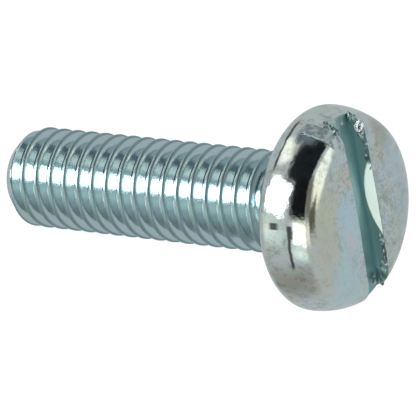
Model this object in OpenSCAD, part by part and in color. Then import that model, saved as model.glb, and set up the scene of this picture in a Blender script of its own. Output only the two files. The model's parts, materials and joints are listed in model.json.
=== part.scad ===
// Slotted pan head machine screw, M6 x 20, full thread, bright zinc plated steel.
// One piece: head, short neck, rolled right-hand thread and chamfered tip.
// It lies as it comes to rest: on the rim of the head and on the last full thread crest.
// The length runs along +X with the head at +X; the floor is z = 0. Sizes in mm.

/* [Thread] */
// Diameter over the thread crests
thread_d = 5.9; // [5.2:0.05:6.6]
// Distance from one crest to the next
pitch = 1.0; // [0.8:0.05:1.2]
// Depth of the thread groove
groove_depth = 0.6; // [0.3:0.02:0.6]
// Width of the flat on the crest
crest_w = 0.17; // [0.08:0.01:0.2]
// Height of the rounding beside the crest flat
crest_round = 0.06; // [0.02:0.01:0.1]
// Length under the head, bearing face to tip
length = 20; // [14:0.5:24]
// Diameter of the flat at the tip
tip_d = 4.2; // [3.4:0.1:4.6]
// Length of the chamfer at the tip
tip_chamfer = 0.95; // [0.5:0.05:1.5]
// Radius where the chamfer meets the tip flat
tip_r = 0.3; // [0.1:0.05:0.4]
// Turn of the thread about the screw's axis, degrees
thread_turn = 0; // [0:5:355]
// Flat steps in one turn of the thread
turn_steps = 32; // [20:4:36]

/* [Neck] */
// Diameter of the plain neck under the head
neck_d = 5.3; // [5:0.05:5.4]
// Length of the plain neck
neck_len = 0.85; // [0.6:0.05:1]
// Length over which the thread groove runs out before the neck
runout_len = 1.1; // [0.5:0.1:2]
// Radius between neck and bearing face
fillet_r = 0.38; // [0.2:0.02:0.5]

/* [Head] */
// Head diameter
head_d = 11.7; // [11:0.1:12.4]
// Head height at its middle
head_h = 3.7; // [3.65:0.05:4.2]
// Rounding between the bearing face and the side
rim_r = 0.92; // [0.4:0.02:1]
// Straight part of the side
side_h = 0.05; // [0.05:0.05:0.1]
// Radius of the bulged side
side_r = 4.5; // [4:0.1:4.6]
// Angle covered by the bulged side, degrees
side_angle = 27; // [20:1:28]
// Radius between the side and the top face
shoulder_r = 1.1; // [0.6:0.05:1.15]

/* [Slot] */
// Width of the driver slot
slot_w = 2.2; // [1.2:0.05:2.4]
// Depth of the slot below the top of the head
slot_depth = 1.05; // [0.9:0.05:1.9]
// Offset of the slot from the middle of the head
slot_shift = 0.3; // [-0.4:0.05:0.4]
// Turn of the slot from upright, degrees
slot_turn = 5.3; // [-90:0.1:90]

/* [Hidden] */
zinc = [0.76, 0.80, 0.84];
$fn = 96;
crest_rad = thread_d/2;
root_rad = crest_rad - groove_depth;
neck_rad = neck_d/2;
head_rad = head_d/2;
tip_rad = tip_d/2;
// one pitch of the thread, seen along the axis: offset and radius, from root to root
flank_run = groove_depth*tan(30);
root_w = max(0.04, pitch - crest_w - 2*flank_run - 0.6*crest_round);
u_root = root_w/2;
u_top = pitch/2 - crest_w/2;
tooth = [
    [u_root, root_rad],
    [u_top - crest_round*0.9, crest_rad - crest_round],
    [u_top, crest_rad],
    [pitch - u_top, crest_rad],
    [pitch - u_top + crest_round*0.9, crest_rad - crest_round],
    [pitch - u_root, root_rad]
];
tooth_n = len(tooth);
thread_top = -0.5;
turns = ceil((length + thread_top + pitch + 0.2)/pitch);
thread_low = thread_top - turns*pitch;
strands = turns*tooth_n;
// the groove and the crest both run out into a plain round before the neck
end_rad = neck_rad - 0.03;
fade_end = -neck_len - 0.05;
function fade(z) = min(1, max(0, (fade_end - z)/runout_len));
function thread_rad(z, r) = end_rad + (r - end_rad)*fade(z);
function strand_z(q, i) =
    thread_low + pitch*(floor(q/tooth_n) + i/turn_steps) + tooth[q % tooth_n][0];
function strand_r(q, i) = thread_rad(strand_z(q, i), tooth[q % tooth_n][1]);
function strand_pt(q, i) = let(a = 360*i/turn_steps, r = strand_r(q, i))
    [r*cos(a), r*sin(a), strand_z(q, i)];
// a strand's point one full turn on is the first point of the strand one pitch up
function idx(q, i) = i < turn_steps ? q*turn_steps + i : (q + tooth_n)*turn_steps;
// head outline: bulged side arc, shoulder arc and a low dome, each tangent to the next
side_z = rim_r + side_h;
side_c = [head_rad - side_r, side_z];
shoulder_c = side_c + (side_r - shoulder_r)*[cos(side_angle), sin(side_angle)];
dome_r = (pow(shoulder_c[0], 2) + pow(shoulder_c[1] - head_h, 2) - pow(shoulder_r, 2))
    /(2*(head_h - shoulder_c[1] - shoulder_r));
dome_c = [0, head_h - dome_r];
shoulder_end = atan2(shoulder_c[1] - dome_c[1], shoulder_c[0]);
// tip outline
tip_angle = atan2(crest_rad - tip_rad, tip_chamfer);
tip_out = 0.5;
tip_c = [tip_rad - tip_r*tan((90 - tip_angle)/2), -length + tip_r];
// rest: the line that touches the rim of the head and the last full crest near the tip
low_turn = -thread_turn;
crest_first = thread_low + pitch*(low_turn/360 - floor(low_turn/360)) + pitch/2;
crest_count = ceil((-(length - tip_chamfer) - crest_w/2 - crest_first)/pitch);
crest_rest = max(crest_first + pitch*crest_count - crest_w/2, -(length - tip_chamfer));
rest_run = rim_r - crest_rest;
rest_drop = head_rad - rim_r - crest_rad;
rest_tilt = atan2(rest_drop, rest_run) + asin(rim_r/sqrt(rest_run*rest_run + rest_drop*rest_drop));
lift = (head_rad - rim_r)*cos(rest_tilt) + rim_r - rim_r*sin(rest_tilt);
// reach of the tilted outline along X, to centre the part over the origin
dirx = [sin(rest_tilt), cos(rest_tilt)];
reach_head = 90 - rest_tilt > shoulder_end ? dome_c*dirx + dome_r : shoulder_c*dirx + shoulder_r;
reach_tip = tip_c[0]*dirx[0] - tip_c[1]*dirx[1] + tip_r;
shift = (reach_tip - reach_head)/2;

module sector(c, r, a1, a2) {
    reach = 2*r;
    intersection() {
        translate(c) circle(r = r);
        polygon([c, c + reach*[cos(a1), sin(a1)], c + reach*[cos(a2), sin(a2)]]);
    }
}

module head_outline() {
    polygon([
        [0, -neck_len], [neck_rad, -neck_len], [neck_rad, 0], [head_rad - rim_r, 0],
        [head_rad - rim_r, rim_r], [head_rad, rim_r], [head_rad, side_z],
        side_c, shoulder_c, [0, shoulder_c[1]]
    ]);
    difference() {
        translate([neck_rad, -fillet_r]) square(fillet_r);
        translate([neck_rad + fillet_r, -fillet_r]) circle(r = fillet_r);
    }
    sector([head_rad - rim_r, rim_r], rim_r, -90, 0);
    sector(side_c, side_r, 0, side_angle);
    sector(shoulder_c, shoulder_r, side_angle, shoulder_end);
    intersection() {
        translate(dome_c) circle(r = dome_r, $fn = 4000);
        polygon([[0, shoulder_c[1]], shoulder_c,
            shoulder_c + 2*shoulder_r*[cos(shoulder_end), sin(shoulder_end)], [0, head_h + 1]]);
    }
}

module slotted_head() {
    difference() {
        rotate_extrude() head_outline();
        rotate([0, 0, slot_turn])
            translate([-head_rad - 1, slot_shift - slot_w/2, head_h - slot_depth])
                cube([head_d + 2, slot_w, slot_depth + 1]);
    }
}

module tip_outline() {
    far = crest_rad + tip_out;
    polygon([
        [0, -length], [tip_c[0], -length], tip_c,
        tip_c + tip_r*[cos(-tip_angle), -sin(tip_angle)],
        [far, -length + (far - tip_rad)/tan(tip_angle)],
        [far, 1], [0, 1]
    ]);
    sector(tip_c, tip_r, -90, -tip_angle);
}

module thread_body() {
    points = concat(
        [for (q = [0:strands], i = [0:turn_steps - 1]) strand_pt(q, i)],
        [[0, 0, thread_low + pitch/2], [0, 0, thread_top + pitch/2]]);
    low = (strands + 1)*turn_steps;
    high = low + 1;
    rows = strands;
    last = turn_steps - 1;
    faces = concat(
        [for (q = [0:rows - 1], i = [0:last]) if (i < last || q < rows - tooth_n)
            [idx(q, i), idx(q + 1, i), idx(q + 1, i + 1)]],
        [for (q = [0:rows - 1], i = [0:last]) if (i < last || q < rows - tooth_n)
            [idx(q, i), idx(q + 1, i + 1), idx(q, i + 1)]],
        [for (i = [0:last]) [low, idx(0, i), idx(0, i + 1)]],
        [for (q = [0:tooth_n - 1]) [low, idx(q + 1, 0), idx(q, 0)]],
        [for (i = [0:last - 1]) [high, idx(rows, i + 1), idx(rows, i)]],
        [for (q = [rows - tooth_n:rows - 1]) [high, idx(q, last), idx(q + 1, last)]],
        [[high, idx(rows, 0), idx(rows - tooth_n, last)]]);
    rotate([0, 0, thread_turn]) polyhedron(points = points, faces = faces, convexity = 8);
}

module threaded_shank() {
    intersection() {
        thread_body();
        rotate_extrude() tip_outline();
    }
}

module screw() {
    color(zinc)
        translate([shift, 0, lift])
            rotate([0, 90 - rest_tilt, 0])
                union() {
                    slotted_head();
                    threaded_shank();
                }
}

screw();
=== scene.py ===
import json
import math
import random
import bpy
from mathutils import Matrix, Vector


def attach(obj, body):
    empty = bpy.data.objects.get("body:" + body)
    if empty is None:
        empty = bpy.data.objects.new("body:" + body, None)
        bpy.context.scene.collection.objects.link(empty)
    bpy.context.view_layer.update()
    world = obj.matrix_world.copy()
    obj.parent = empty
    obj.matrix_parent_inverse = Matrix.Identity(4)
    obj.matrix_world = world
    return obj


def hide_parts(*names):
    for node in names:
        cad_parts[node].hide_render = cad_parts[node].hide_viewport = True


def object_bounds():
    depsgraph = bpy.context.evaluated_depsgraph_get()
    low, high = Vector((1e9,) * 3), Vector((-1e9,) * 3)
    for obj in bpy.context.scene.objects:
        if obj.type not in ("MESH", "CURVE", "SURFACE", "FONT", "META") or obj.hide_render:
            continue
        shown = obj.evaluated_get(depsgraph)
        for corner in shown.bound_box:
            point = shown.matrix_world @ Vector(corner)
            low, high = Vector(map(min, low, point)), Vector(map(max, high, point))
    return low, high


bl_info = {
    "name": "Machine screw",
    "version": (1, 0, 0),
    "blender": (4, 5, 0),
    "location": "View3D > Sidebar > Screw",
    "description": "Slotted pan head machine screw with a rolled thread, on a pale studio floor",
    "category": "Object",
}

from types import SimpleNamespace

import bpy
from mathutils import Matrix, Vector, noise

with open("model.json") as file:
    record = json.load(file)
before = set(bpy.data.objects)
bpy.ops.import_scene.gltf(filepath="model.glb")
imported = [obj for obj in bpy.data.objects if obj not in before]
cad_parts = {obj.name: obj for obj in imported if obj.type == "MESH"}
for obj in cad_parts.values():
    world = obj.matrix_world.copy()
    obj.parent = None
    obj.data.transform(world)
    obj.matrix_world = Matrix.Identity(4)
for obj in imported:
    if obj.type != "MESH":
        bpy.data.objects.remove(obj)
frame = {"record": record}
CAD_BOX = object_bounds()
MOUNTS = {mount["name"]: mount for mount in frame["record"]["mounts"]}
BEARING_CENTRE = Vector(MOUNTS["bearing_face"]["pos_m"])
HEAD_WAY = -Vector(MOUNTS["bearing_face"]["axis"]).normalized()
REST_TILT = math.asin(HEAD_WAY.z)
CREST_RADIUS = MOUNTS["thread"]["dims"]["r_mm"] / 1000
# the screw is shaped upright in millimetres, then laid down and brought to metres
MM = 1000.0
LAY_DOWN = (
    Matrix.Translation(BEARING_CENTRE)
    @ Matrix.Rotation(math.pi / 2 - REST_TILT, 4, "Y")
    @ Matrix.Scale(1 / MM, 4)
)
FLANK_ANGLE = math.radians(30)
DOME_STEPS = 14

# lengths from here on are in millimetres; points nearer than this are welded
WELD = 1e-4
# how far the walls and the floor of the slot wander
WALL_RAG = 0.06
FLOOR_RAG = 0.03
# the thread's run-out ends inside the neck's round and below the neck's end
NECK_INSET = 0.03
NECK_OVERLAP = 0.05
# width of the rounding where the chamfer cuts the crests
CHAMFER_BLEND = 0.12
# where the swept thread ends inside the neck, and how far it passes the tip
THREAD_TOP = -0.5
TIP_SPARE = 0.2
# a chip this near a wall of the slot lies on the skin, and further in on the floor
WALL_MARGIN = 0.15
FLOOR_SEAT = 0.15
# length, width and thickness of a chip, and how far its points are pulled about
CHIP_SHAPE = (1, 0.55, 0.14)
BURR_TEAR = 0.06
GLINT_TEAR = 0.015
# azimuth and height that the bright chips face
GLINT_FACING = (math.radians(4), math.radians(27))
# stretch of the head's outline that the flap covers, and its distance from the skin
FLAP_REACH = (4.8, 5.82)
FLAP_LOW = 1.4
FLAP_CLEAR = Vector((0.02, 0.015))
FLAP_ROWS = 6
FLAP_ROW_WIDTH = 0.14
FLAP_THICKNESS = 0.06
FLAP_TURN = math.radians(195.5)
# how far the painted shade lines of the folds on the side of the head wander
FOLD_WANDER = 0.3


def length_property(name, description, default):
    return bpy.props.FloatProperty(
        name=name, description=description, default=default, unit="LENGTH", precision=5, step=0.01
    )


def colour_property(name, description, default):
    return bpy.props.FloatVectorProperty(
        name=name, description=description, default=default, subtype="COLOR", min=0.0, max=1.0
    )


class ThreadSettings(bpy.types.PropertyGroup):
    """Sizes of the threaded shank."""

    diameter: length_property("Thread diameter", "Diameter over the crests", 2 * CREST_RADIUS)
    pitch: length_property("Pitch", "Distance from one crest to the next", 0.001)
    groove_depth: length_property("Groove depth", "From the crest down to the root", 0.0006)
    crest_width: length_property("Crest width", "Flat on the crest", 0.00009)
    worn_width: length_property("Worn width", "Leaning strip between crest and flank", 0.00009)
    worn_angle: bpy.props.FloatProperty(
        name="Worn angle",
        description="Lean of the worn strip towards the head",
        default=math.radians(27),
        subtype="ANGLE",
    )
    crest_rounding: length_property("Crest rounding", "Height over which the crest rounds", 0.00003)
    root_rounding: length_property("Root rounding", "Height over which the root rounds", 0.00003)
    # 4 micrometres under the CAD's 20 mm, which keeps the finer tip inside the CAD box
    length: length_property("Length", "From the bearing face to the tip", 0.019996)
    tip_diameter: length_property("Tip diameter", "Flat at the end of the chamfer", 0.0042)
    tip_chamfer: length_property("Tip chamfer", "Length of the chamfer along the screw", 0.00095)
    tip_rounding: length_property("Tip rounding", "Radius between chamfer and tip flat", 0.0003)
    neck_length: length_property("Neck length", "Plain round under the head", 0.00085)
    runout: length_property("Run-out", "Length over which the groove fades to the neck", 0.0011)
    steps: bpy.props.IntProperty(
        name="Steps", description="Faces in one turn of the thread", default=96, min=24, max=128
    )


class HeadSettings(bpy.types.PropertyGroup):
    """Sizes of the pan head and its slot."""

    diameter: length_property("Head diameter", "Widest round of the head", 0.0117)
    height: length_property("Head height", "Bearing face to the top of the dome", 0.0037)
    rim_radius: length_property("Rim radius", "Between bearing face and side", 0.00092)
    side_height: length_property("Side height", "Straight part of the side", 0.00005)
    side_radius: length_property("Side radius", "Radius of the bulged side", 0.0045)
    side_angle: bpy.props.FloatProperty(
        name="Side angle",
        description="Angle covered by the bulged side",
        default=math.radians(27),
        subtype="ANGLE",
    )
    shoulder_radius: length_property("Shoulder radius", "Between the side and the top", 0.0011)
    neck_diameter: length_property("Neck diameter", "Plain round under the head", 0.0053)
    fillet_radius: length_property("Fillet radius", "Between neck and bearing face", 0.00038)
    slot_width: length_property("Slot width", "Width of the driver slot", 0.0022)
    slot_depth: length_property("Slot depth", "Below the top of the dome", 0.00105)
    slot_shift: length_property("Slot shift", "Offset of the slot from the middle", 0.0003)
    slot_turn: bpy.props.FloatProperty(
        name="Slot turn",
        description="Turn of the slot from upright, about the screw's axis",
        default=math.radians(5.3),
        subtype="ANGLE",
    )
    steps: bpy.props.IntProperty(
        name="Steps", description="Faces in one turn of the head", default=176, min=24, max=256
    )


class FinishSettings(bpy.types.PropertyGroup):
    """Colours and roughness of the zinc plating and the torn metal."""

    zinc: colour_property("Zinc", "Bright zinc plating", (0.72, 0.78, 0.78))
    blue: colour_property("Blue tint", "Blue bloom of the plating", (0.66, 0.77, 0.86))
    pink: colour_property("Pink tint", "Pinkish bloom of the plating", (0.77, 0.75, 0.72))
    green: colour_property("Green tint", "Greenish bloom of the plating", (0.70, 0.79, 0.70))
    grime: colour_property("Grime", "Handling marks in the plating", (0.47, 0.49, 0.43))
    teal: colour_property("Teal tint", "Thicker plating down in the thread", (0.58, 0.70, 0.73))
    # painted shade: this dark colour on the strip beside each crest stands for the thread's thin
    # dark shade lines
    crest: colour_property("Crest", "Worn strip beside the crest", (0.24, 0.36, 0.38))
    slot_teal: colour_property("Slot teal", "Walls of the slot", (0.50, 0.66, 0.64))
    # painted light: the pale stripe on the slot's far wall stands for a lit patch, which the slot
    # lamp also lights
    slot_painted_light: colour_property(
        "Slot wall", "Bare stripe on the far wall of the slot", (0.80, 0.90, 0.82)
    )
    # painted highlight: the paler end of the near wall stands for light that the bent wall catches
    slot_painted_highlight: colour_property(
        "Bent slot wall", "Pale end of the near wall of the slot", (0.62, 0.78, 0.75)
    )
    slot_floor: colour_property("Slot floor", "Rough floor of the slot", (0.34, 0.52, 0.54))
    burr: colour_property("Burr", "Dark side of the torn metal", (0.10, 0.15, 0.15))
    flap_dark: colour_property("Flap shade", "Dark patches of the flap", (0.32, 0.38, 0.40))
    flap_light: colour_property("Flap", "Light patches of the flap", (0.58, 0.66, 0.68))
    glint_dark: colour_property("Glint shade", "Dark patches of a bright chip", (0.7, 0.75, 0.8))
    glint_light: colour_property("Glint", "Light patches of a bright chip", (0.95, 0.97, 1.0))
    # painted shade: the dark colour of the fold lines stands for the shade inside folds of the
    # head's side
    fold: colour_property("Fold line", "Dark fold left by the heading die", (0.10, 0.11, 0.11))
    face_roughness: bpy.props.FloatProperty(
        name="Face roughness", description="Matte top of the head", default=0.38, min=0, max=1
    )
    gloss_roughness: bpy.props.FloatProperty(
        name="Side roughness", description="Glossy side of the head", default=0.08, min=0, max=1
    )
    thread_roughness: bpy.props.FloatProperty(
        name="Thread roughness", description="Rolled thread", default=0.12, min=0, max=1
    )
    crest_roughness: bpy.props.FloatProperty(
        name="Crest roughness", description="Worn strip beside the crest", default=0.3, min=0, max=1
    )
    slot_roughness: bpy.props.FloatProperty(
        name="Slot roughness", description="Sawn slot", default=0.45, min=0, max=1
    )


class StageSettings(bpy.types.PropertyGroup):
    """The camera of the photograph. Its angles are those of the way back to the camera."""

    azimuth: bpy.props.FloatProperty(
        name="Azimuth", description="Camera bearing", default=math.radians(33.83), subtype="ANGLE"
    )
    elevation: bpy.props.FloatProperty(
        name="Elevation", description="Height angle", default=math.radians(23.97), subtype="ANGLE"
    )
    distance: length_property("Distance", "Camera to the bearing face, along the view", 0.24445)
    head_right: length_property(
        "Head right", "Bearing face right of the picture's middle", 0.005783
    )
    head_up: length_property("Head up", "Bearing face above the picture's middle", 0.000119)
    lens: bpy.props.FloatProperty(
        name="Lens", description="Focal length, millimetres", default=374.3, min=20, max=600
    )


def select_only(obj):
    bpy.ops.object.select_all(action="DESELECT")
    obj.select_set(True)
    bpy.context.view_layer.objects.active = obj


def edit(obj):
    select_only(obj)
    bpy.ops.object.mode_set(mode="EDIT")


def leave_edit():
    bpy.ops.object.mode_set(mode="OBJECT")


def draw_outline(name, points):
    """An open outline in the XZ plane, extruded point by point."""
    bpy.ops.object.select_all(action="DESELECT")
    bpy.ops.mesh.primitive_plane_add(size=1)
    outline = bpy.context.active_object
    outline.name = outline.data.name = name
    bpy.ops.object.mode_set(mode="EDIT")
    bpy.ops.mesh.select_all(action="SELECT")
    bpy.ops.mesh.merge(type="CENTER")
    bpy.ops.transform.translate(value=(points[0].x, 0, points[0].y))
    for here, there in zip(points, points[1:]):
        step = there - here
        bpy.ops.mesh.extrude_region_move(TRANSFORM_OT_translate={"value": (step.x, 0, step.y)})
    leave_edit()
    return outline


def sweep(obj, steps, rise=0.0, turns=1):
    """Turns the outline about Z, rising by so much a turn."""
    select_only(obj)
    bpy.ops.object.modifier_add(type="SCREW")
    screw = obj.modifiers[-1]
    screw.axis = "Z"
    screw.angle = 2 * math.pi
    screw.screw_offset = rise
    screw.iterations = turns
    screw.steps = screw.render_steps = steps
    screw.use_merge_vertices = True
    screw.merge_threshold = WELD
    bpy.ops.object.modifier_apply(modifier=screw.name)


def face_outwards(obj):
    edit(obj)
    bpy.ops.mesh.select_all(action="SELECT")
    bpy.ops.mesh.remove_doubles(threshold=WELD)
    bpy.ops.mesh.normals_make_consistent(inside=False)
    leave_edit()


def combine(obj, other, operation):
    """Boolean with another object, which is then deleted."""
    select_only(obj)
    bpy.ops.object.modifier_add(type="BOOLEAN")
    boolean = obj.modifiers[-1]
    boolean.operation = operation
    boolean.solver = "EXACT"
    boolean.object = other
    bpy.ops.object.modifier_apply(modifier=boolean.name)
    select_only(other)
    bpy.ops.object.delete()


def arc(centre, radius, start, end, count):
    """Points of an arc, both ends included."""
    turns = (start + (end - start) * i / count for i in range(count + 1))
    return [centre + radius * Vector((math.cos(turn), math.sin(turn))) for turn in turns]


def soft_min(a, b, blend):
    """The smaller of two lengths, with the corner between them rounded."""
    gap = max(blend - abs(a - b), 0.0) / blend
    return min(a, b) - gap * gap * blend / 4


def dome_bend(head):
    """How fast the top falls away: its drop over the distance squared, in millimetres."""
    outline = head_outline(head, bpy.context.scene.screw_thread)
    edge = outline[DOME_STEPS]
    return (outline[0].y - edge.y) / edge.x**2


def height_on_head(head, radius):
    """Height of the head's outer skin at a distance from its middle, above its widest round."""
    outline = head_outline(head, bpy.context.scene.screw_thread)
    for here, there in zip(outline, outline[1:]):
        if here.x <= radius <= there.x:
            return here.y + (there.y - here.y) * (radius - here.x) / (there.x - here.x)
    return head.rim_radius * MM


def head_outline(head, thread):
    """Half section of the head, from the top of the dome down to the end of the neck."""
    radius = head.diameter * MM / 2
    height = head.height * MM
    rim = head.rim_radius * MM
    side_z = rim + head.side_height * MM
    side_r = head.side_radius * MM
    shoulder_r = head.shoulder_radius * MM
    neck = head.neck_diameter * MM / 2
    fillet = head.fillet_radius * MM
    side = Vector((radius - side_r, side_z))
    way = Vector((math.cos(head.side_angle), math.sin(head.side_angle)))
    shoulder = side + (side_r - shoulder_r) * way
    drop = height - shoulder.y
    dome_r = (shoulder.x**2 + drop**2 - shoulder_r**2) / (2 * (drop - shoulder_r))
    dome = Vector((0, height - dome_r))
    shoulder_end = math.atan2(shoulder.y - dome.y, shoulder.x)
    outline = arc(dome, dome_r, math.pi / 2, shoulder_end, DOME_STEPS)
    outline[0].x = 0.0
    outline += arc(shoulder, shoulder_r, shoulder_end, head.side_angle, 18)[1:]
    outline += arc(side, side_r, head.side_angle, 0, 24)[1:]
    outline += arc(Vector((radius - rim, rim)), rim, 0, -math.pi / 2, 20)
    outline += arc(Vector((neck + fillet, -fillet)), fillet, math.pi / 2, math.pi, 8)
    low = -thread.neck_length * MM
    outline += [Vector((neck, low)), Vector((0, low))]
    return outline


def slot_cutter(head):
    """A long block across the head, its walls slightly ragged as the cutter leaves them."""
    width, depth = head.slot_width * MM, head.slot_depth * MM
    floor = head.height * MM - depth
    reach = head.diameter * MM + 2
    tall = 3
    bpy.ops.object.select_all(action="DESELECT")
    bpy.ops.mesh.primitive_cube_add(size=1, location=(0, 0, floor + tall / 2))
    cutter = bpy.context.active_object
    cutter.name = "slot_cutter"
    cutter.scale = (reach, width, tall)
    bpy.ops.object.transform_apply(location=True, rotation=False, scale=True)
    edit(cutter)
    bpy.ops.mesh.select_all(action="SELECT")
    bpy.ops.mesh.subdivide(number_cuts=60)
    leave_edit()
    for vertex in cutter.data.vertices:
        x, y, z = vertex.co
        # long waves and short ones, with a row of the noise for each wall
        rag = noise.noise(Vector((x * 2.1, math.copysign(7.0, y), z * 2.1)))
        rag += 0.6 * noise.noise(Vector((x * 6.3, math.copysign(3.0, y), z * 3.0)))
        calm_middle = 0.35 + 0.65 * min(1.0, abs(x) / 5.0) ** 3
        if abs(y) > width / 2 - WELD and z < floor + 2.6:
            vertex.co.y += WALL_RAG * rag * calm_middle
        if z < floor + 1e-3:
            vertex.co.z += FLOOR_RAG * rag
    edit(cutter)
    bpy.ops.mesh.select_all(action="SELECT")
    bpy.ops.transform.translate(value=(0, head.slot_shift * MM, 0))
    leave_edit()
    cutter.rotation_euler.z = head.slot_turn
    bpy.ops.object.transform_apply(location=False, rotation=True, scale=False)
    face_outwards(cutter)
    return cutter


class SCREW_OT_head(bpy.types.Operator):
    """Turn the pan head from its half section and cut the driver slot"""

    bl_idname = "screw.head"
    bl_label = "Pan head"

    def execute(self, context):
        head, thread = context.scene.screw_head, context.scene.screw_thread
        body = draw_outline("machine_screw", head_outline(head, thread))
        sweep(body, head.steps)
        face_outwards(body)
        combine(body, slot_cutter(head), "DIFFERENCE")
        return {"FINISHED"}


def tooth_outline(thread):
    """One pitch of the thread from root to root, the crest worn on the side of the head."""
    crest = thread.diameter * MM / 2
    root = crest - thread.groove_depth * MM
    pitch = thread.pitch * MM
    slope = 1 / math.tan(FLANK_ANGLE)
    flat = thread.crest_width * MM / 2
    worn = thread.worn_width * MM
    lean = math.tan(thread.worn_angle)
    count = 36
    points = []
    for i in range(count + 1):
        along = pitch * i / count
        past = along - pitch / 2
        back = crest - slope * (-past - flat)
        strip = crest - lean * (past - flat)
        front = crest - lean * worn - slope * (past - flat - worn)
        radius = soft_min(crest, strip, thread.crest_rounding * MM)
        radius = soft_min(radius, front, thread.crest_rounding * MM)
        radius = soft_min(radius, back, thread.crest_rounding * MM)
        radius = -soft_min(-radius, -root, thread.root_rounding * MM)
        points.append(Vector((radius, along)))
    return points


def shape_thread_ends(body, thread, head):
    """Runs the groove out into the neck, and rounds the tip over chamfer and flat."""
    neck = head.neck_diameter * MM / 2 - NECK_INSET
    run_end = -thread.neck_length * MM - NECK_OVERLAP
    runout = thread.runout * MM
    crest = thread.diameter * MM / 2
    tip = thread.tip_diameter * MM / 2
    length = thread.length * MM
    chamfer = thread.tip_chamfer * MM
    rounding = thread.tip_rounding * MM
    lean = math.atan2(crest - tip, chamfer)
    corner = Vector((tip - rounding * math.tan((math.pi / 2 - lean) / 2), -length + rounding))
    arc_top = corner.y - rounding * math.sin(lean)
    arc_run = rounding * (math.pi / 2 - lean)
    for vertex in body.data.vertices:
        x, y, z = vertex.co
        radius = math.hypot(x, y)
        way = Vector((x, y)) / radius
        fade = min(1.0, max(0.0, (run_end - z) / runout))
        fade = fade * fade * (3 - 2 * fade)
        radius = neck + (radius - neck) * fade
        if z >= arc_top:
            cone = tip + (z + length) * math.tan(lean)
            radius = soft_min(radius, cone, CHAMFER_BLEND)
        elif z > arc_top - arc_run:
            turn = lean + (arc_top - z) / rounding
            radius = corner.x + rounding * math.cos(turn)
            z = corner.y - rounding * math.sin(turn)
        else:
            radius = corner.x - (arc_top - arc_run - z)
            z = -length
        vertex.co = (way.x * radius, way.y * radius, z)


class SCREW_OT_thread(bpy.types.Operator):
    """Sweep the thread as a right-hand helix and join it to the head"""

    bl_idname = "screw.thread"
    bl_label = "Threaded shank"

    def execute(self, context):
        head, thread = context.scene.screw_head, context.scene.screw_thread
        pitch = thread.pitch * MM
        turns = math.ceil((thread.length * MM + THREAD_TOP + pitch + TIP_SPARE) / pitch)
        shank = draw_outline("shank", tooth_outline(thread))
        shank.location.z = THREAD_TOP - turns * pitch
        bpy.ops.object.transform_apply(location=True, rotation=False, scale=False)
        sweep(shank, thread.steps, rise=pitch, turns=turns)
        shape_thread_ends(shank, thread, head)
        middle = -thread.length * MM / 2
        edit(shank)
        bpy.ops.mesh.select_mode(type="EDGE")
        for at_tip in (True, False):
            bpy.ops.mesh.select_all(action="DESELECT")
            bpy.ops.mesh.select_non_manifold(extend=False, use_wire=False)
            leave_edit()
            for edge in shank.data.edges:
                low = min(shank.data.vertices[i].co.z for i in edge.vertices) < middle
                edge.select = edge.select and low == at_tip
            bpy.ops.object.mode_set(mode="EDIT")
            bpy.ops.mesh.edge_face_add()
        bpy.ops.mesh.select_mode(type="VERT")
        leave_edit()
        face_outwards(shank)
        body = bpy.data.objects["machine_screw"]
        combine(body, shank, "UNION")
        return {"FINISHED"}


def on_slot(head, along, across, rise):
    """A place on the skin of the head or the slot's floor, along and across the slot, in mm."""
    turn = Matrix.Rotation(head.slot_turn, 3, "Z")
    place = turn @ Vector((along, across + head.slot_shift * MM, 0))
    place.z = height_on_head(head, math.hypot(place.x, place.y))
    if abs(across) < head.slot_width * MM / 2 - WALL_MARGIN:
        place.z = (head.height - head.slot_depth) * MM + FLOOR_SEAT
    place.z += rise
    return place


def chip():
    """One torn chip of metal, a millimetre long."""
    bpy.ops.object.select_all(action="DESELECT")
    bpy.ops.mesh.primitive_ico_sphere_add(subdivisions=2, radius=0.5)
    piece = bpy.context.active_object
    piece.name = "burr"
    edit(piece)
    bpy.ops.mesh.select_all(action="SELECT")
    bpy.ops.transform.resize(value=CHIP_SHAPE)
    leave_edit()
    return piece


def tear(piece, chance, size):
    """Pulls the points of a piece about, so no two chips are alike."""
    for vertex in piece.data.vertices:
        vertex.co += Vector([chance.uniform(-size, size) for _ in range(3)])


def flap(head):
    """The tongue of metal that the cutter pushed over the shoulder beside the slot."""
    outline = head_outline(head, bpy.context.scene.screw_thread)
    inner, outer = FLAP_REACH
    skin = [point for point in outline if inner < point.x < outer and point.y > FLAP_LOW]
    piece = draw_outline("flap", [point + FLAP_CLEAR for point in skin])
    edit(piece)
    bpy.ops.mesh.select_all(action="SELECT")
    for _ in range(FLAP_ROWS):
        bpy.ops.mesh.extrude_region_move(
            TRANSFORM_OT_translate={"value": (0, FLAP_ROW_WIDTH, 0)}
        )
    leave_edit()
    # buckled by long and short waves, its free edge ragged
    for vertex in piece.data.vertices:
        place = vertex.co * 2.6
        lift = 0.035 * noise.noise(place) + 0.02 * noise.noise(place * 3)
        ragged = 0.1 * noise.noise(place * 1.4 + Vector((9, 0, 0)))
        vertex.co += Vector((lift, ragged, lift + ragged * 0.5))
    select_only(piece)
    bpy.ops.object.modifier_add(type="SOLIDIFY")
    solidify = piece.modifiers[-1]
    solidify.thickness = FLAP_THICKNESS
    bpy.ops.object.modifier_apply(modifier=solidify.name)
    face_outwards(piece)
    piece.rotation_euler.z = FLAP_TURN
    finish = bpy.context.scene.screw_finish
    piece.data.materials.append(
        torn_metal("flap_metal", finish.flap_dark, finish.flap_light, 0.38)
    )
    return piece


def copy_of(piece):
    select_only(piece)
    bpy.ops.object.duplicate()
    return bpy.context.active_object


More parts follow.
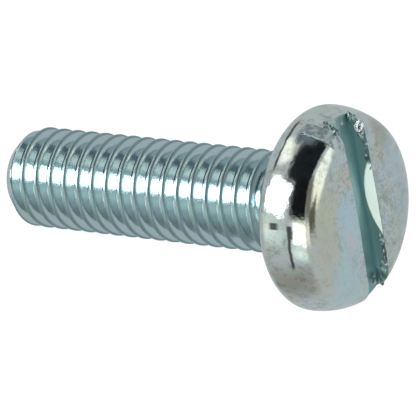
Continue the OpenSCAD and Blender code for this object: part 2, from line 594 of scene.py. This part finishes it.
def scatter_burrs(head, first, chance):
    """Dark chips, each unlike the next, along stretches of the slot's edges."""
    half = head.slot_width * MM / 2
    pieces = []
    for start, end, side, count, size in BURRS:
        for i in range(count):
            piece = copy_of(first)
            tear(piece, chance, BURR_TEAR)
            along = start + (end - start) * (i + chance.uniform(0.1, 0.9)) / count
            across = half * side + chance.uniform(-0.07, 0.07)
            piece.location = on_slot(head, along, across, chance.uniform(-0.26, -0.1))
            piece.rotation_euler = (
                chance.uniform(-0.8, 0.8),
                chance.uniform(-0.35, 0.35),
                head.slot_turn + chance.uniform(-0.5, 0.5),
            )
            length = size * chance.uniform(0.6, 1.3)
            piece.scale = (length, length, length * chance.uniform(0.8, 1.6))
            pieces.append(piece)
    return pieces


def place_glints(head, first, chance, metal):
    """Bright chips, turned to throw the key light at the camera."""
    facing = LAY_DOWN.to_3x3().transposed() @ bearing(*GLINT_FACING)
    turn = facing.to_track_quat("Z", "Y").to_euler()
    pieces = []
    for along, across, rise, size in GLINTS:
        piece = copy_of(first)
        piece.data.materials.clear()
        piece.data.materials.append(metal)
        tear(piece, chance, GLINT_TEAR)
        piece.location = on_slot(head, along, across, rise)
        piece.rotation_euler = turn
        piece.scale = (size, size * 1.5, size)
        pieces.append(piece)
    return pieces


def new_material(name):
    material = bpy.data.materials.new(name)
    material.use_nodes = True
    return material, material.node_tree


def torn_metal(name, dark, light, roughness):
    """Torn zinc with patches of two shades."""
    material, tree = new_material(name)
    shader = tree.nodes["Principled BSDF"]
    shader.inputs["Metallic"].default_value = 0.85
    shader.inputs["Roughness"].default_value = roughness
    place = own_frame(tree)
    patches = band(tree, cloud(tree, place, 3.5), 0.42, 0.6)
    tree.links.new(blend_colour(tree, patches, dark, light), shader.inputs["Base Color"])
    bump = tree.nodes.new("ShaderNodeBump")
    bump.inputs["Distance"].default_value = 0.00006
    tree.links.new(cloud(tree, place, 5.0, 5.0, 0.7), bump.inputs["Height"])
    tree.links.new(bump.outputs["Normal"], shader.inputs["Normal"])
    return material


class SCREW_OT_burrs(bpy.types.Operator):
    """Scatter the torn metal that the cutter left along the edges of the slot"""

    bl_idname = "screw.burrs"
    bl_label = "Burrs"

    def execute(self, context):
        head, finish = context.scene.screw_head, context.scene.screw_finish
        chance = random.Random(11)
        first = chip()
        first.data.materials.append(torn_metal("burr_metal", finish.burr, finish.slot_teal, 0.38))
        pieces = [flap(head)]
        pieces += scatter_burrs(head, first, chance)
        shiny = torn_metal("glint_metal", finish.glint_dark, finish.glint_light, 0.12)
        pieces += place_glints(head, first, chance, shiny)
        select_only(first)
        bpy.ops.object.delete()
        select_only(pieces[0])
        for piece in pieces:
            piece.select_set(True)
        bpy.ops.object.transform_apply(location=True, rotation=True, scale=True)
        bpy.ops.object.join()
        burrs = context.active_object
        burrs.name = burrs.data.name = "slot_burrs"
        burrs.matrix_world = LAY_DOWN
        bpy.ops.object.transform_apply(location=True, rotation=True, scale=True)
        # no chip passes the CAD box at its highest x or its highest z
        for vertex in burrs.data.vertices:
            vertex.co.x = min(vertex.co.x, CAD_BOX[1][0])
            vertex.co.z = min(vertex.co.z, CAD_BOX[1][2])
        bpy.ops.object.shade_smooth_by_angle(angle=math.radians(40))
        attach(burrs, "root")
        return {"FINISHED"}


def own_frame(tree):
    """The screw's own upright coordinates in millimetres: Z along it, zero at the bearing face."""
    place = tree.nodes.new("ShaderNodeTexCoord")
    turn = tree.nodes.new("ShaderNodeMapping")
    turn.vector_type = "TEXTURE"
    turn.inputs["Location"].default_value = BEARING_CENTRE
    turn.inputs["Rotation"].default_value = (0, math.pi / 2 - REST_TILT, 0)
    turn.inputs["Scale"].default_value = (1 / MM,) * 3
    tree.links.new(place.outputs["Object"], turn.inputs["Vector"])
    return turn.outputs["Vector"]


def band(tree, value, low, high):
    """0 below low, 1 above high, eased between them."""
    ease = tree.nodes.new("ShaderNodeMapRange")
    ease.interpolation_type = "SMOOTHSTEP"
    ease.inputs["From Min"].default_value = low
    ease.inputs["From Max"].default_value = high
    tree.links.new(value, ease.inputs["Value"])
    return ease.outputs["Result"]


def math_node(tree, operation, *values):
    node = tree.nodes.new("ShaderNodeMath")
    node.operation = operation
    for value, socket in zip(values, node.inputs):
        if isinstance(value, bpy.types.NodeSocket):
            tree.links.new(value, socket)
        else:
            socket.default_value = value
    return node.outputs[0]


def cloud(tree, vector, scale, detail=3.0, roughness=0.55):
    texture = tree.nodes.new("ShaderNodeTexNoise")
    texture.inputs["Scale"].default_value = scale
    texture.inputs["Detail"].default_value = detail
    texture.inputs["Roughness"].default_value = roughness
    tree.links.new(vector, texture.inputs["Vector"])
    return texture.outputs["Fac"]


def blend_colour(tree, factor, first, second):
    mix = tree.nodes.new("ShaderNodeMix")
    mix.data_type = "RGBA"
    tree.links.new(factor, mix.inputs["Factor"])
    for source, socket in ((first, mix.inputs[6]), (second, mix.inputs[7])):
        if isinstance(source, bpy.types.NodeSocket):
            tree.links.new(source, socket)
        else:
            socket.default_value = (*source, 1.0)
    return mix.outputs[2]


def blend_value(tree, factor, first, second):
    mix = tree.nodes.new("ShaderNodeMix")
    mix.data_type = "FLOAT"
    tree.links.new(factor, mix.inputs["Factor"])
    for source, socket in ((first, mix.inputs[2]), (second, mix.inputs[3])):
        if isinstance(source, bpy.types.NodeSocket):
            tree.links.new(source, socket)
        else:
            socket.default_value = source
    return mix.outputs[0]


def slot_frame(tree, place, head):
    """Coordinates of the slot in millimetres: X along it, Y across it."""
    turn = tree.nodes.new("ShaderNodeMapping")
    turn.vector_type = "TEXTURE"
    across = Vector((-math.sin(head.slot_turn), math.cos(head.slot_turn), 0))
    turn.inputs["Location"].default_value = across * head.slot_shift * MM
    turn.inputs["Rotation"].default_value = (0, 0, head.slot_turn)
    tree.links.new(place, turn.inputs["Vector"])
    split = tree.nodes.new("ShaderNodeSeparateXYZ")
    tree.links.new(turn.outputs["Vector"], split.inputs[0])
    return split


def fold_shade_lines(tree, place, zones):
    """Painted shade: thin dark lines that stand for folds running a short way round the side of the
    head.
    """
    wander = cloud(tree, place, 0.9, 2.0)
    height = math_node(tree, "MULTIPLY_ADD", wander, FOLD_WANDER, zones.height)
    turn = math_node(tree, "ARCTAN2", zones.split.outputs["Y"], zones.split.outputs["X"])
    found = None
    for level, start, end, width in FOLD_SHADES:
        level += FOLD_WANDER / 2
        off = math_node(tree, "ABSOLUTE", math_node(tree, "SUBTRACT", height, level))
        line = band(tree, off, width, width / 4)
        middle, reach = math.radians((start + end) / 2), math.radians((end - start) / 2)
        away = math_node(tree, "ABSOLUTE", math_node(tree, "SUBTRACT", turn, middle))
        line = math_node(tree, "MULTIPLY", line, band(tree, away, reach, reach * 0.7))
        found = line if found is None else math_node(tree, "MAXIMUM", found, line)
    return found


def distance_off_axis(tree, place):
    flat = tree.nodes.new("ShaderNodeVectorMath")
    flat.operation = "MULTIPLY"
    flat.inputs[1].default_value = (1, 1, 0)
    tree.links.new(place, flat.inputs[0])
    reach = tree.nodes.new("ShaderNodeVectorMath")
    reach.operation = "LENGTH"
    tree.links.new(flat.outputs["Vector"], reach.inputs[0])
    return reach.outputs["Value"]


def painted_light_stripe(tree, slot, height, head):
    """Painted light: a pale crescent on the far wall of the slot, between the ends, that stands for
    a lit patch.
    """
    floor = (head.height - head.slot_depth) * MM
    off = math_node(tree, "ADD", slot.outputs["X"], 0.4)
    squared = math_node(tree, "MULTIPLY", off, off)
    low = math_node(tree, "MULTIPLY_ADD", squared, 0.12, floor + 0.26)
    above = math_node(tree, "SUBTRACT", height, low)
    ends = band(tree, math_node(tree, "ABSOLUTE", slot.outputs["X"]), 2.5, 2.2)
    return math_node(tree, "MULTIPLY", band(tree, above, -0.06, 0.06), ends)


def plating_zones(tree, place, head):
    """The places and masks that tell the parts of the screw's skin apart."""
    split = tree.nodes.new("ShaderNodeSeparateXYZ")
    tree.links.new(place, split.inputs[0])
    height = split.outputs["Z"]
    reach = distance_off_axis(tree, place)
    slot = slot_frame(tree, place, head)
    crest = CREST_RADIUS * MM
    top = head.height * MM
    floor = (head.height - head.slot_depth) * MM
    half = head.slot_width * MM / 2

    # the matte face fades out towards the shoulder
    face = (band(tree, reach, 4.9, 3.6), band(tree, height, 3.3, 3.5))
    beside = band(tree, math_node(tree, "ABSOLUTE", slot.outputs["Y"]), half + 0.10, half + 0.04)
    above_floor = band(tree, height, floor - 0.12, floor - 0.06)
    # the height with the dome's fall taken out is that of the top all over the face
    squared = math_node(tree, "MULTIPLY", reach, reach)
    flattened = math_node(tree, "MULTIPLY_ADD", squared, dome_bend(head), height)
    under_face = band(tree, flattened, top - 0.01, top - 0.04)
    in_slot = math_node(tree, "MULTIPLY", beside, above_floor)
    in_slot = math_node(tree, "MULTIPLY", in_slot, under_face)
    # painted shade: the dark line on the strip beside each crest, less dark on the crest's flat
    worn = math_node(tree, "MULTIPLY_ADD", band(tree, reach, crest, crest - 0.02), 0.4, 0.6)
    return SimpleNamespace(
        split=split,
        height=height,
        reach=reach,
        slot=slot,
        on_head=band(tree, height, -0.2, 0.1),
        on_face=math_node(tree, "MULTIPLY", *face),
        in_slot=in_slot,
        low_in_slot=band(tree, height, floor + 0.3, floor + 0.05),
        painted_light=math_node(tree, "MULTIPLY", in_slot, painted_light_stripe(tree, slot, height, head)),
        crest=math_node(tree, "MULTIPLY", band(tree, reach, crest - 0.15, crest - 0.07), worn),
        grain=cloud(tree, place, 3.0, 5.0, 0.65),
    )


def bloom(tree, zones, middle, size, strength):
    """A cloudy oval patch on the top of the head, placed along and across the slot."""
    off = []
    for axis, centre, shrink in zip("XY", middle, (1 / size, 1.6 / size)):
        away = math_node(tree, "SUBTRACT", zones.slot.outputs[axis], centre)
        off.append(math_node(tree, "MULTIPLY", away, shrink))
    far = math_node(tree, "MULTIPLY", off[0], off[0])
    far = math_node(tree, "MULTIPLY_ADD", off[1], off[1], far)
    far = math_node(tree, "MULTIPLY_ADD", zones.grain, 3.0, far)
    on_top = band(tree, zones.height, 2.6, 2.9)
    patch = math_node(tree, "MULTIPLY", band(tree, far, 3.6, 1.0), on_top)
    return math_node(tree, "MULTIPLY", patch, strength)


def head_colour(tree, place, zones, finish):
    """Zinc with clouds of blue, stains, and on the face specks and blooms."""
    blue = band(tree, cloud(tree, place, 0.55), 0.45, 0.6)
    blue = math_node(tree, "MULTIPLY", blue, band(tree, zones.reach, 5.2, 4.2))
    colour = blend_colour(tree, blue, finish.zinc, finish.blue)
    for name, scale, detail, roughness, low, high in STAINS:
        stain = band(tree, cloud(tree, place, scale, detail, roughness), low, high)
        colour = blend_colour(tree, stain, colour, getattr(finish, name))
    speck = band(tree, cloud(tree, place, 5.5, 3.0, 0.6), 0.5, 0.64)
    speck = math_node(tree, "MULTIPLY", speck, math_node(tree, "MULTIPLY", zones.on_face, 0.75))
    colour = blend_colour(tree, speck, colour, finish.grime)
    for along, across, size, tint, strength in BLOOMS:
        patch = bloom(tree, zones, (along, across), size, strength)
        colour = blend_colour(tree, patch, colour, tint)
    return colour


def slot_colour(tree, zones, finish):
    """Walls that darken towards the floor, with a painted highlight at the bent end of the near
    wall.
    """
    walls = blend_colour(tree, zones.low_in_slot, finish.slot_teal, finish.slot_floor)
    # painted highlight at the end of the near wall
    at_end = band(tree, zones.slot.outputs["X"], -4.0, -4.6)
    near_wall = band(tree, zones.slot.outputs["Y"], 0.2, -0.4)
    painted_highlight = math_node(tree, "MULTIPLY", at_end, near_wall)
    return blend_colour(tree, painted_highlight, walls, finish.slot_painted_highlight)


def plating_colour(tree, place, zones, finish):
    # painted shade beside each crest of the thread
    thread = blend_colour(tree, zones.crest, finish.teal, finish.crest)
    head = head_colour(tree, place, zones, finish)
    colour = blend_colour(tree, zones.on_head, thread, head)
    colour = blend_colour(tree, zones.in_slot, colour, slot_colour(tree, zones, finish))
    # painted light: the pale stripe on the slot's far wall
    colour = blend_colour(tree, zones.painted_light, colour, finish.slot_painted_light)
    # painted shade of the folds on the side of the head
    return blend_colour(tree, fold_shade_lines(tree, place, zones), colour, finish.fold)


def plating_metal(tree, zones):
    """Full metal, but duller on the strip beside the crest, which carries painted shade, and hardly
    any on the stripe of painted light in the slot.
    """
    metal = blend_value(tree, zones.crest, 1.0, 0.84)
    metal = blend_value(tree, zones.on_head, metal, 1.0)
    return blend_value(tree, zones.painted_light, metal, 0.1)


def plating_roughness(tree, zones, finish):
    rough = blend_value(tree, zones.crest, finish.thread_roughness, finish.crest_roughness)
    rough = blend_value(tree, zones.on_head, rough, finish.gloss_roughness)
    rough = blend_value(tree, zones.on_face, rough, finish.face_roughness)
    rough = blend_value(tree, zones.in_slot, rough, finish.slot_roughness)
    jitter = 0.12
    rough = math_node(tree, "MULTIPLY_ADD", zones.grain, jitter, rough)
    return math_node(tree, "SUBTRACT", rough, jitter / 2)


def plating_normal(tree, zones):
    """A soft rise towards the face, which widens its edge, under the fine grain."""
    soften = tree.nodes.new("ShaderNodeBump")
    soften.inputs["Distance"].default_value = 0.00015
    tree.links.new(math_node(tree, "SUBTRACT", 1.0, zones.in_slot), soften.inputs["Strength"])
    rise = (band(tree, zones.reach, 4.9, 3.5), band(tree, zones.height, 3.2, 3.4))
    tree.links.new(math_node(tree, "MULTIPLY", *rise), soften.inputs["Height"])
    bump = tree.nodes.new("ShaderNodeBump")
    bump.inputs["Distance"].default_value = 0.00002
    bump.inputs["Strength"].default_value = 0.5
    tree.links.new(zones.grain, bump.inputs["Height"])
    tree.links.new(soften.outputs["Normal"], bump.inputs["Normal"])
    return bump.outputs["Normal"]


def zinc_plating(finish, head):
    """Bright zinc: glossy on the side and thread, matte on the top, dull and teal in the slot."""
    material, tree = new_material("zinc_plating")
    shader = tree.nodes["Principled BSDF"]
    place = own_frame(tree)
    zones = plating_zones(tree, place, head)
    for name, value in (
        ("Base Color", plating_colour(tree, place, zones, finish)),
        ("Metallic", plating_metal(tree, zones)),
        ("Roughness", plating_roughness(tree, zones, finish)),
        ("Normal", plating_normal(tree, zones)),
    ):
        tree.links.new(value, shader.inputs[name])
    return material


class SCREW_OT_finish(bpy.types.Operator):
    """Lay the screw down where it rests, smooth it and plate it with zinc"""

    bl_idname = "screw.finish"
    bl_label = "Lay down and plate"

    def execute(self, context):
        plating = zinc_plating(context.scene.screw_finish, context.scene.screw_head)
        body = bpy.data.objects["machine_screw"]
        body.matrix_world = LAY_DOWN
        select_only(body)
        bpy.ops.object.transform_apply(location=True, rotation=True, scale=True)
        bpy.ops.object.shade_smooth_by_angle(angle=math.radians(32))
        body.data.materials.clear()
        body.data.materials.append(plating)
        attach(body, "root")
        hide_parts("screw")
        return {"FINISHED"}


def floor_material():
    """A matte floor that a camera sees mostly as plain white, so that it stays pale."""
    material, tree = new_material("floor_white")
    shader = tree.nodes["Principled BSDF"]
    shader.inputs["Base Color"].default_value = (0.9, 0.9, 0.9, 1.0)
    shader.inputs["Roughness"].default_value = 0.9
    shader.inputs["Specular IOR Level"].default_value = 0.0
    rays = tree.nodes.new("ShaderNodeLightPath")
    seen = math_node(tree, "MULTIPLY", rays.outputs["Is Camera Ray"], 0.8)
    glow = tree.nodes.new("ShaderNodeEmission")
    glow.inputs["Strength"].default_value = 1.15
    mix = tree.nodes.new("ShaderNodeMixShader")
    tree.links.new(seen, mix.inputs[0])
    tree.links.new(shader.outputs[0], mix.inputs[1])
    tree.links.new(glow.outputs[0], mix.inputs[2])
    tree.links.new(mix.outputs[0], tree.nodes["Material Output"].inputs["Surface"])
    return material


def bearing(azimuth, elevation):
    """The direction at an azimuth from -Y towards +X and a height above the floor."""
    level = math.cos(elevation)
    return Vector((math.sin(azimuth) * level, -math.cos(azimuth) * level, math.sin(elevation)))


def card(name, place, span, strength, colour, blur, roll, distance):
    """A flat card that only reflections see: middle (azimuth, height) and span in degrees."""
    way = bearing(math.radians(place[0]), math.radians(place[1]))
    bpy.ops.object.select_all(action="DESELECT")
    bpy.ops.mesh.primitive_plane_add(size=1)
    panel = bpy.context.active_object
    panel.name = name
    panel.location = way * distance + BEARING_CENTRE
    turn = way.to_track_quat("Z", "Y").to_matrix() @ Matrix.Rotation(math.radians(roll), 3, "Z")
    panel.rotation_euler = turn.to_euler()
    panel.scale = (*(2 * distance * math.tan(math.radians(angle) / 2) for angle in span), 1)
    panel.data.materials.append(card_material(name, strength, colour, blur))
    panel.visible_camera = False
    panel.visible_diffuse = False
    panel.visible_shadow = False


def card_material(name, strength, colour, blur):
    """Even light that fades out towards the edges of the card."""
    material, tree = new_material(name)
    tree.nodes.clear()
    glow = tree.nodes.new("ShaderNodeEmission")
    glow.inputs["Color"].default_value = (*colour, 1.0)
    glow.inputs["Strength"].default_value = strength
    clear = tree.nodes.new("ShaderNodeBsdfTransparent")
    place = tree.nodes.new("ShaderNodeTexCoord")
    split = tree.nodes.new("ShaderNodeSeparateXYZ")
    tree.links.new(place.outputs["UV"], split.inputs[0])
    fades = []
    for axis in "XY":
        off = math_node(tree, "SUBTRACT", split.outputs[axis], 0.5)
        inset = math_node(tree, "SUBTRACT", 0.5, math_node(tree, "ABSOLUTE", off))
        fades.append(band(tree, inset, 0.0, blur / 2))
    shown = math_node(tree, "MULTIPLY", *fades)
    mix = tree.nodes.new("ShaderNodeMixShader")
    tree.links.new(shown, mix.inputs[0])
    tree.links.new(clear.outputs[0], mix.inputs[1])
    tree.links.new(glow.outputs[0], mix.inputs[2])
    output = tree.nodes.new("ShaderNodeOutputMaterial")
    tree.links.new(mix.outputs[0], output.inputs["Surface"])
    return material


class SCREW_OT_stage(bpy.types.Operator):
    """Set the floor, the soft light and the camera of the photograph"""

    bl_idname = "screw.stage"
    bl_label = "Studio"

    def execute(self, context):
        stage = context.scene.screw_stage
        bpy.ops.object.select_all(action="DESELECT")
        bpy.ops.mesh.primitive_plane_add(size=4.0)
        floor = context.active_object
        floor.name = "floor"
        floor.data.materials.append(floor_material())
        floor.visible_glossy = False
        self.light(context)
        self.camera(context, stage)
        return {"FINISHED"}

    def light(self, context):
        world = bpy.data.worlds.new("studio")
        context.scene.world = world
        world.use_nodes = True
        tree = world.node_tree
        background = tree.nodes["Background"]
        # the camera sees a white backdrop, and the screw a dimmer, cooler room
        background.inputs["Color"].default_value = (0.9, 0.98, 1.0, 1)
        background.inputs["Strength"].default_value = 0.56
        white = tree.nodes.new("ShaderNodeBackground")
        white.inputs["Color"].default_value = (1, 1, 1, 1)
        rays = tree.nodes.new("ShaderNodeLightPath")
        mix = tree.nodes.new("ShaderNodeMixShader")
        tree.links.new(rays.outputs["Is Camera Ray"], mix.inputs[0])
        tree.links.new(background.outputs[0], mix.inputs[1])
        tree.links.new(white.outputs[0], mix.inputs[2])
        tree.links.new(mix.outputs[0], tree.nodes["World Output"].inputs["Surface"])
        for values in CARDS:
            card(*values)
        # lights the slot only softly: no reflection shows it
        way = bearing(math.radians(22), math.radians(25))
        distance = 0.5
        bpy.ops.object.light_add(type="AREA", location=BEARING_CENTRE + way * distance)
        lamp = context.active_object
        lamp.name = "slot_lamp"
        lamp.rotation_euler = way.to_track_quat("Z", "Y").to_euler()
        lamp.data.size = 0.12
        lamp.data.energy = 1.8
        lamp.visible_glossy = False
        context.scene.view_settings.view_transform = "Standard"

    def camera(self, context, stage):
        back = bearing(stage.azimuth, stage.elevation)
        turn = back.to_track_quat("Z", "Y")
        right, up = turn @ Vector((1, 0, 0)), turn @ Vector((0, 1, 0))
        bpy.ops.object.camera_add()
        camera = context.active_object
        camera.name = "photo_camera"
        camera.rotation_euler = turn.to_euler()
        offset = right * stage.head_right + up * stage.head_up
        camera.location = BEARING_CENTRE + back * stage.distance - offset
        camera.data.lens = stage.lens
        camera.data.sensor_width = 36
        camera.data.clip_start = 0.01
        camera.data.clip_end = 10
        context.scene.camera = camera


class SCREW_PT_panel(bpy.types.Panel):
    """Lists the steps that make the screw and its stage"""

    bl_idname = "SCREW_PT_panel"
    bl_label = "Machine screw"
    bl_space_type = "VIEW_3D"
    bl_region_type = "UI"
    bl_category = "Screw"

    def draw(self, context):
        for operator in STEPS:
            self.layout.operator(operator.bl_idname)
        for name, group in SETTINGS.items():
            settings = getattr(context.scene, name)
            box = self.layout.box()
            for key in group.__annotations__:
                box.prop(settings, key)


WHITE = (0.97, 0.99, 1.0)
CREAM = (1.0, 1.0, 0.9)
DARK = (0.7, 0.85, 1.0)
BROWN = (1.0, 0.92, 0.72)
MINT = (0.88, 1.0, 0.93)
VIOLET = (0.55, 0.45, 1.0)
# cards that the screw reflects: name, middle (azimuth and height) and span in degrees,
# strength, colour, blur of the edges, roll in degrees, distance from the head in metres
CARDS = (
    ("key_light", (-26, 24), (32, 33), 5.5, WHITE, 0.06, 0, 0.50),
    ("key_light_side", (-46, 15), (20, 17), 5.5, WHITE, 0.1, 20, 0.505),
    ("key_fringe", (-60, 18), (9, 22), 1.3, VIOLET, 0.7, 20, 0.51),
    ("dark_wall", (16, 30), (34, 42), 0.012, DARK, 0.06, 0, 0.46),
    ("dark_ceiling", (15, 73), (48, 58), 0.02, DARK, 0.06, -15, 0.47),
    ("dark_corner", (-125, 68), (26, 30), 0.22, DARK, 0.3, 30, 0.46),
    ("low_card", (21, -7), (32, 26), 1.8, CREAM, 0.15, 0, 0.45),
    ("low_card_side", (48, -6), (24, 22), 0.95, CREAM, 0.2, 0, 0.455),
    ("brown_gap", (74, 6), (44, 26), 0.14, BROWN, 0.4, 0, 0.46),
    ("right_dim", (48, 30), (30, 46), 0.2, CREAM, 0.35, 0, 0.455),
    ("right_card", (95, 28), (50, 52), 1.2, CREAM, 0.3, 0, 0.50),
    ("left_card", (-77, 55), (36, 18), 1.25, CREAM, 0.35, 0, 0.48),
    ("low_middle", (20, -29), (50, 26), 1.15, MINT, 1.0, 0, 0.475),
    ("low_glow", (-34, -12), (84, 48), 1.0, MINT, 1.0, 0, 0.48),
    ("low_shade", (-30, -68), (110, 60), 0.3, CREAM, 1.0, 0, 0.49),
)

# stains of the plating: colour, noise scale, detail and roughness, where it starts and is full
STAINS = (
    ("green", 0.9, 5.0, 0.6, 0.5, 0.64),
    ("pink", 0.7, 5.0, 0.6, 0.49, 0.62),
    ("grime", 1.6, 8.0, 0.75, 0.46, 0.66),
)

# blooms on the top of the head: place along and across the slot, size, tint, strength
BLOOMS = (
    (-1.2, -4.2, 2.2, (0.74, 0.72, 0.56), 0.8),
    (1.6, -4.4, 1.6, (0.74, 0.72, 0.58), 0.6),
    (3.4, -2.9, 2.2, (0.66, 0.84, 0.88), 0.8),
    (0.1, -1.9, 1.8, (0.66, 0.84, 0.95), 0.9),
    (1.15, -2.1, 0.7, (0.82, 0.74, 0.76), 0.7),
    (-3.9, 2.9, 1.4, (0.52, 0.50, 0.41), 0.8),
    (-1.5, 3.3, 1.6, (0.66, 0.78, 0.88), 0.6),
    (1.6, 3.4, 1.4, (0.58, 0.72, 0.72), 0.6),
)

# torn metal: start and end along the slot, side of the slot in half widths, chips, length
BURRS = (
    (-5.35, -4.4, -1.05, 5, 0.8),
    (-5.45, -4.85, -0.8, 5, 0.85),
    (-5.3, -4.8, -0.3, 2, 0.6),
    (-5.3, -4.2, 1, 6, 0.8),
    (-4.1, -2.0, 1.02, 7, 0.42),
    (2.2, 4.5, 1.04, 9, 0.62),
    (4.6, 5.25, 0.84, 5, 0.6),
)

# chips that catch the key light: place along and across the slot, rise, length
GLINTS = (
    (-4.7, 0.98, -0.16, 0.72),
    (-4.3, 1.02, -0.14, 0.3),
    (-5.1, 0.3, -0.1, 0.22),
    (-3.6, 1.08, -0.06, 0.2),
    (3.85, 1.06, -0.1, 0.34),
    (5.0, 0.8, -0.1, 0.3),
)

# painted shade of folds: height above the bearing face, start and end round the head in degrees,
# half width
FOLD_SHADES = (
    (2.24, -102, -72, 0.14),
    (2.3, -101, -92, 0.22),
    (0.98, -168, -128, 0.12),
    (1.42, -102, -97.5, 0.42),
)

SETTINGS = {
    "screw_thread": ThreadSettings,
    "screw_head": HeadSettings,
    "screw_finish": FinishSettings,
    "screw_stage": StageSettings,
}
STEPS = (SCREW_OT_head, SCREW_OT_thread, SCREW_OT_finish, SCREW_OT_burrs, SCREW_OT_stage)


def register():
    for name, group in SETTINGS.items():
        bpy.utils.register_class(group)
        setattr(bpy.types.Scene, name, bpy.props.PointerProperty(type=group))
    for step in STEPS:
        bpy.utils.register_class(step)
    bpy.utils.register_class(SCREW_PT_panel)


def unregister():
    bpy.utils.unregister_class(SCREW_PT_panel)
    for step in reversed(STEPS):
        bpy.utils.unregister_class(step)
    for name, group in reversed(SETTINGS.items()):
        delattr(bpy.types.Scene, name)
        bpy.utils.unregister_class(group)


def main():
    register()
    bpy.ops.screw.head()
    bpy.ops.screw.thread()
    bpy.ops.screw.finish()
    bpy.ops.screw.burrs()
    bpy.ops.screw.stage()


if __name__ == "__main__":
    main()
